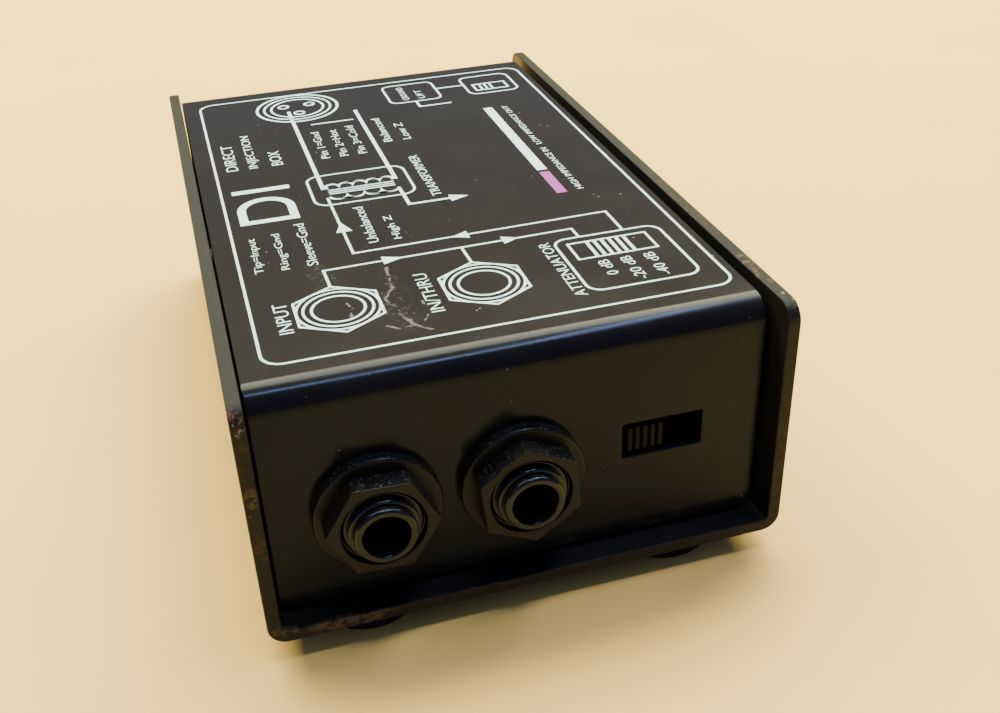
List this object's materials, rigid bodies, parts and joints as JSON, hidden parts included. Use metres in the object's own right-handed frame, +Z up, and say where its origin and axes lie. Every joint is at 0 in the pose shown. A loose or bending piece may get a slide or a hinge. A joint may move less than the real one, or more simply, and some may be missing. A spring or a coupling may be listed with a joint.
{
  "type": "direct injection box",
  "caption": "Low folded-steel audio box with jacks and a slide switch in front, XLR output and lift switch behind, on rubber feet.",
  "frame": {"origin": "centre of the footprint, on the surface that the feet stand on", "axes": "+X to the right seen from the front, +Y from the jack panel to the output panel, +Z up"},
  "size_m": [0.0776, 0.1304, 0.0425],
  "materials": {
    "chassis_paint": "satin black paint over steel",
    "cover_paint": "satin black paint over steel",
    "foot_rubber": "matte black rubber",
    "plated_steel": "zinc plated",
    "black_screws": "black oxide",
    "jack_plastic": "moulded black, semi-gloss",
    "nut_plastic": "moulded black, matte",
    "contact_bronze": "spring bronze",
    "knob_plastic": "ribbed black nylon",
    "switch_can": "tinned steel",
    "wafer_phenolic": "brown phenolic",
    "board_green": "solder mask over glass epoxy",
    "resistor_coat": "lacquered body with bands",
    "capacitor_case": "moulded epoxy",
    "xlr_plastic": "moulded black",
    "pin_gold": "gold flashed",
    "core_steel": "stacked laminations",
    "bobbin_nylon": "natural nylon",
    "winding_copper": "enamelled copper",
    "coil_tape": "polyester tape",
    "lead_insulation": "stranded hook-up wire",
    "link_insulation": "black hook-up wire"
  },
  "bodies": {
    "root": {"base_chassis": "chassis_paint", "top_cover": "cover_paint", "foot_front_left": "foot_rubber", "foot_front_right": "foot_rubber", "foot_rear_left": "foot_rubber", "foot_rear_right": "foot_rubber", "cover_screws": "black_screws", "clinch_nuts": "plated_steel", "attenuator_frame": "switch_can", "attenuator_wafer": "wafer_phenolic", "attenuator_pins": "plated_steel", "ground_lift_frame": "switch_can", "ground_lift_wafer": "wafer_phenolic", "ground_lift_pins": "plated_steel", "pad_resistors": "resistor_coat", "front_board": "board_green", "xlr_housing": "xlr_plastic", "xlr_insert": "xlr_plastic", "xlr_pins": "pin_gold", "xlr_screws": "black_screws", "lift_resistor": "resistor_coat", "lift_capacitor": "capacitor_case", "rear_board": "board_green", "transformer_core": "core_steel", "transformer_bobbin": "bobbin_nylon", "transformer_winding": "winding_copper", "transformer_tape": "coil_tape", "transformer_strap": "plated_steel", "strap_screws": "black_screws", "strap_washers": "plated_steel", "strap_nuts": "plated_steel", "ground_lug": "plated_steel", "primary_leads": "lead_insulation", "secondary_leads": "lead_insulation", "ground_wire": "link_insulation", "link_wires": "link_insulation", "input_jack_body": "jack_plastic", "input_jack_washer": "nut_plastic", "input_jack_nut": "nut_plastic", "input_jack_terminals": "plated_steel", "thru_jack_body": "jack_plastic", "thru_jack_washer": "nut_plastic", "thru_jack_nut": "nut_plastic", "thru_jack_terminals": "plated_steel"},
    "attenuator_knob": {"attenuator_slider": "knob_plastic", "attenuator_wipers": "contact_bronze"},
    "ground_lift_knob": {"ground_lift_slider": "knob_plastic", "ground_lift_wipers": "contact_bronze"},
    "input_tip_leaf": {"input_tip_spring": "contact_bronze"},
    "input_ring_leaf": {"input_ring_spring": "contact_bronze"},
    "input_sleeve_leaf": {"input_sleeve_spring": "contact_bronze"},
    "thru_tip_leaf": {"thru_tip_spring": "contact_bronze"},
    "thru_ring_leaf": {"thru_ring_spring": "contact_bronze"},
    "thru_sleeve_leaf": {"thru_sleeve_spring": "contact_bronze"}
  },
  "joints": [
    {"name": "attenuator_slide", "type": "slide", "parent": "root", "child": "attenuator_knob", "axis": [1, 0, 0], "range_m": [0, 0.005]},
    {"name": "ground_lift_slide", "type": "slide", "parent": "root", "child": "ground_lift_knob", "axis": [-1, 0, 0], "range_m": [0, 0.0025]},
    {"name": "input_tip_leaf_flex", "type": "hinge", "parent": "root", "child": "input_tip_leaf", "pos_m": [-0.0215, -0.0529, 0.02612], "axis": [1, 0, 0], "range_deg": [0, 2.12], "stiffness_Nm_per_rad": 0.12},
    {"name": "input_ring_leaf_flex", "type": "hinge", "parent": "root", "child": "input_ring_leaf", "pos_m": [-0.0215, -0.0529, 0.01617], "axis": [-1, 0, 0], "range_deg": [0, 3.13], "stiffness_Nm_per_rad": 0.12},
    {"name": "input_sleeve_leaf_flex", "type": "hinge", "parent": "root", "child": "input_sleeve_leaf", "pos_m": [-0.01653, -0.0391, 0.02115], "axis": [0, 0, 1], "range_deg": [0, 2.24], "stiffness_Nm_per_rad": 0.12},
    {"name": "thru_tip_leaf_flex", "type": "hinge", "parent": "root", "child": "thru_tip_leaf", "pos_m": [-0.001, -0.0529, 0.02612], "axis": [1, 0, 0], "range_deg": [0, 2.12], "stiffness_Nm_per_rad": 0.12},
    {"name": "thru_ring_leaf_flex", "type": "hinge", "parent": "root", "child": "thru_ring_leaf", "pos_m": [-0.001, -0.0529, 0.01617], "axis": [-1, 0, 0], "range_deg": [0, 3.13], "stiffness_Nm_per_rad": 0.12},
    {"name": "thru_sleeve_leaf_flex", "type": "hinge", "parent": "root", "child": "thru_sleeve_leaf", "pos_m": [0.00398, -0.0391, 0.02115], "axis": [0, 0, 1], "range_deg": [0, 2.24], "stiffness_Nm_per_rad": 0.12}
  ]
}
